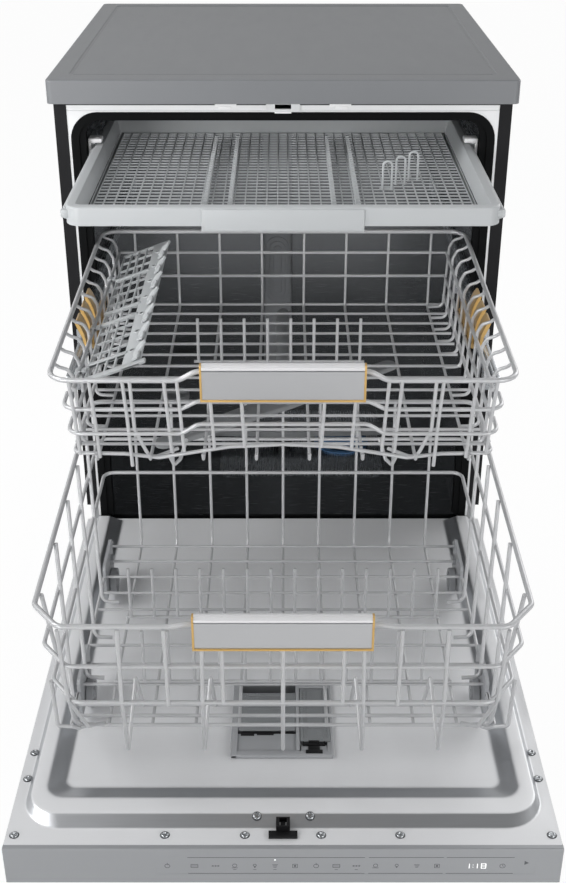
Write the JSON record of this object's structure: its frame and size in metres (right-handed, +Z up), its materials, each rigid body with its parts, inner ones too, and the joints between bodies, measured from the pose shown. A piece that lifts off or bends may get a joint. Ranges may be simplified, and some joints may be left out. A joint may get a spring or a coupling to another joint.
{
  "type": "freestanding dishwasher",
  "caption": "Freestanding dishwasher with its door lying open, two wire baskets and a cutlery tray drawn out, steel tub, folding tines and turning spray arms.",
  "frame": {"origin": "on the floor, midway across the machine and midway between the worktop's back edge and the far end of the open door", "axes": "+Z up, +X to the right as seen from in front of the machine, +Y towards its back, so the door opens towards -Y"},
  "size_m": [0.604, 1.247, 0.845],
  "materials": {
    "worktop_grey": "satin laminate",
    "cabinet_grey": "smooth silver-grey enamel",
    "galvanised": "dull zinc coat",
    "black_plastic": "fine grained",
    "counterweight": "rough",
    "tub_steel": "brushed",
    "gasket_rubber": "matt",
    "bright_steel": "bright",
    "grey_plastic": "satin",
    "arm_grey": "satin",
    "filter_blue": "satin",
    "clear_plastic": "milky",
    "display_glass": "gloss",
    "board_green": "satin",
    "coated_wire": "satin coating over wire",
    "handle_metal": "brushed",
    "gold": "satin gold",
    "tray_plastic": "satin"
  },
  "bodies": {
    "cabinet": {"worktop": "worktop_grey", "side_panel_left": "cabinet_grey", "side_panel_right": "cabinet_grey", "rear_panel": "galvanised", "base_pan": "black_plastic", "levelling_feet": "black_plastic", "plinth": "cabinet_grey", "counterweight": "counterweight", "tub": "tub_steel", "tub_gasket": "gasket_rubber", "door_strike": "bright_steel", "feed_duct": "grey_plastic", "sump": "black_plastic", "filter_plate": "tub_steel", "circulation_pump": "black_plastic", "drain_pump": "black_plastic", "softener": "clear_plastic", "inlet_valve": "cabinet_grey", "rack_rails": "bright_steel", "tray_rails": "bright_steel", "hinge_brackets": "galvanised"},
    "filter_cup": {"filter_cup": "filter_blue"},
    "salt_cap": {"salt_cap": "grey_plastic"},
    "pump_impeller": {"pump_impeller": "filter_blue"},
    "lower_spray_arm": {"lower_spray_arm": "arm_grey"},
    "top_spray_arm": {"top_spray_arm": "arm_grey"},
    "rail_slides": {"rail_slides": "bright_steel"},
    "door": {"door_outer_panel": "cabinet_grey", "door_inner_panel": "tub_steel", "door_screws": "bright_steel", "control_fascia": "cabinet_grey", "display_window": "display_glass", "control_board": "board_green", "door_latch": "black_plastic", "dispenser_housing": "grey_plastic", "hinge_arms": "galvanised"},
    "latch_hook": {"latch_hook": "bright_steel"},
    "detergent_lid": {"detergent_lid": "arm_grey"},
    "rinse_aid_lid": {"rinse_aid_lid": "grey_plastic"},
    "lower_rack": {"lower_basket": "coated_wire", "lower_handle": "handle_metal", "lower_handle_trim": "gold", "wheel_carriers": "arm_grey"},
    "lower_wheels_front": {"lower_wheels_front": "arm_grey"},
    "lower_wheels_rear": {"lower_wheels_rear": "arm_grey"},
    "lower_tines_front": {"lower_tines_front": "coated_wire"},
    "lower_tines_rear": {"lower_tines_rear": "coated_wire"},
    "middle_rack": {"middle_basket": "coated_wire", "middle_handle": "handle_metal", "middle_handle_trim": "gold", "middle_feed_tube": "arm_grey", "rail_carriers": "bright_steel"},
    "middle_spray_arm": {"middle_spray_arm": "arm_grey"},
    "height_lever_left": {"height_lever_left": "gold"},
    "height_lever_right": {"height_lever_right": "gold"},
    "cup_shelf": {"cup_shelf": "tray_plastic"},
    "middle_tines": {"middle_tines": "coated_wire"},
    "tray": {"cutlery_tray": "tray_plastic", "tray_grid": "coated_wire", "tray_combs": "tray_plastic"}
  },
  "joints": [
    {"name": "door_hinge", "type": "hinge", "parent": "cabinet", "child": "door", "pos_m": [0, 0.0285, 0.16], "axis": [1, 0, 0], "range_deg": [-6, 0]},
    {"name": "latch_hook_hinge", "type": "hinge", "parent": "door", "child": "latch_hook", "pos_m": [0, -0.5933, 0.1675], "axis": [1, 0, 0], "range_deg": [0, 7]},
    {"name": "detergent_lid_slide", "type": "slide", "parent": "door", "child": "detergent_lid", "axis": [0, 1, 0], "range_m": [-0.034, 0.028]},
    {"name": "rinse_aid_lid_hinge", "type": "hinge", "parent": "door", "child": "rinse_aid_lid", "pos_m": [0, -0.3685, 0.1828], "axis": [1, 0, 0], "range_deg": [-20, 0]},
    {"name": "lower_rack_slide", "type": "slide", "parent": "door", "child": "lower_rack", "axis": [0, 1, 0], "range_m": [0, 0.655]},
    {"name": "lower_wheels_front_axle", "type": "hinge", "parent": "lower_rack", "child": "lower_wheels_front", "pos_m": [0, -0.3865, 0.19985], "axis": [-1, 0, 0], "continuous": true},
    {"name": "lower_wheels_rear_axle", "type": "hinge", "parent": "lower_rack", "child": "lower_wheels_rear", "pos_m": [0, -0.1465, 0.19985], "axis": [-1, 0, 0], "continuous": true},
    {"name": "lower_tines_front_fold", "type": "hinge", "parent": "lower_rack", "child": "lower_tines_front", "pos_m": [0, -0.4065, 0.2322], "axis": [-1, 0, 0], "range_deg": [0, 84]},
    {"name": "lower_tines_rear_fold", "type": "hinge", "parent": "lower_rack", "child": "lower_tines_rear", "pos_m": [0, -0.2765, 0.2322], "axis": [-1, 0, 0], "range_deg": [0, 84]},
    {"name": "middle_rack_slide", "type": "slide", "parent": "cabinet", "child": "middle_rack", "axis": [0, 1, 0], "range_m": [0, 0.445]},
    {"name": "rail_slides_slide", "type": "slide", "parent": "cabinet", "child": "rail_slides", "axis": [0, 1, 0], "range_m": [0, 0.2225]},
    {"name": "middle_spray_arm_spin", "type": "hinge", "parent": "middle_rack", "child": "middle_spray_arm", "pos_m": [0, -0.1265, 0.4675], "axis": [0, 0, 1], "continuous": true},
    {"name": "height_lever_left_hinge", "type": "hinge", "parent": "middle_rack", "child": "height_lever_left", "pos_m": [-0.2389, -0.1485, 0.5515], "axis": [0, -1, 0], "range_deg": [0, 9]},
    {"name": "height_lever_right_hinge", "type": "hinge", "parent": "middle_rack", "child": "height_lever_right", "pos_m": [0.2389, -0.1485, 0.5515], "axis": [0, 1, 0], "range_deg": [0, 9]},
    {"name": "cup_shelf_hinge", "type": "hinge", "parent": "middle_rack", "child": "cup_shelf", "pos_m": [-0.233, 0.0235, 0.585], "axis": [0, -1, 0], "range_deg": [0, 45]},
    {"name": "middle_tines_fold", "type": "hinge", "parent": "middle_rack", "child": "middle_tines", "pos_m": [0, -0.0965, 0.5102], "axis": [-1, 0, 0], "range_deg": [0, 84]},
    {"name": "tray_slide", "type": "slide", "parent": "cabinet", "child": "tray", "axis": [0, 1, 0], "range_m": [0, 0.286]},
    {"name": "lower_spray_arm_spin", "type": "hinge", "parent": "cabinet", "child": "lower_spray_arm", "pos_m": [0, 0.3235, 0.19], "axis": [0, 0, 1], "continuous": true},
    {"name": "top_spray_arm_spin", "type": "hinge", "parent": "cabinet", "child": "top_spray_arm", "pos_m": [0, 0.3235, 0.7714], "axis": [0, 0, 1], "continuous": true},
    {"name": "pump_impeller_spin", "type": "hinge", "parent": "cabinet", "child": "pump_impeller", "pos_m": [-0.117, 0.3235, 0.112], "axis": [1, 0, 0], "continuous": true},
    {"name": "filter_cup_twist", "type": "hinge", "parent": "cabinet", "child": "filter_cup", "pos_m": [0.1, 0.3235, 0.1675], "axis": [0, 0, 1], "range_deg": [0, 60]},
    {"name": "salt_cap_twist", "type": "hinge", "parent": "cabinet", "child": "salt_cap", "pos_m": [-0.195, 0.4635, 0.1815], "axis": [0, 0, 1], "range_deg": [0, 540]}
  ],
  "couplings": [
    {"joint": "lower_wheels_front_axle", "follows": "lower_rack_slide", "rad_per_m": 55.556},
    {"joint": "lower_wheels_rear_axle", "follows": "lower_rack_slide", "rad_per_m": 55.556},
    {"joint": "rail_slides_slide", "follows": "middle_rack_slide", "ratio": 0.5}
  ]
}
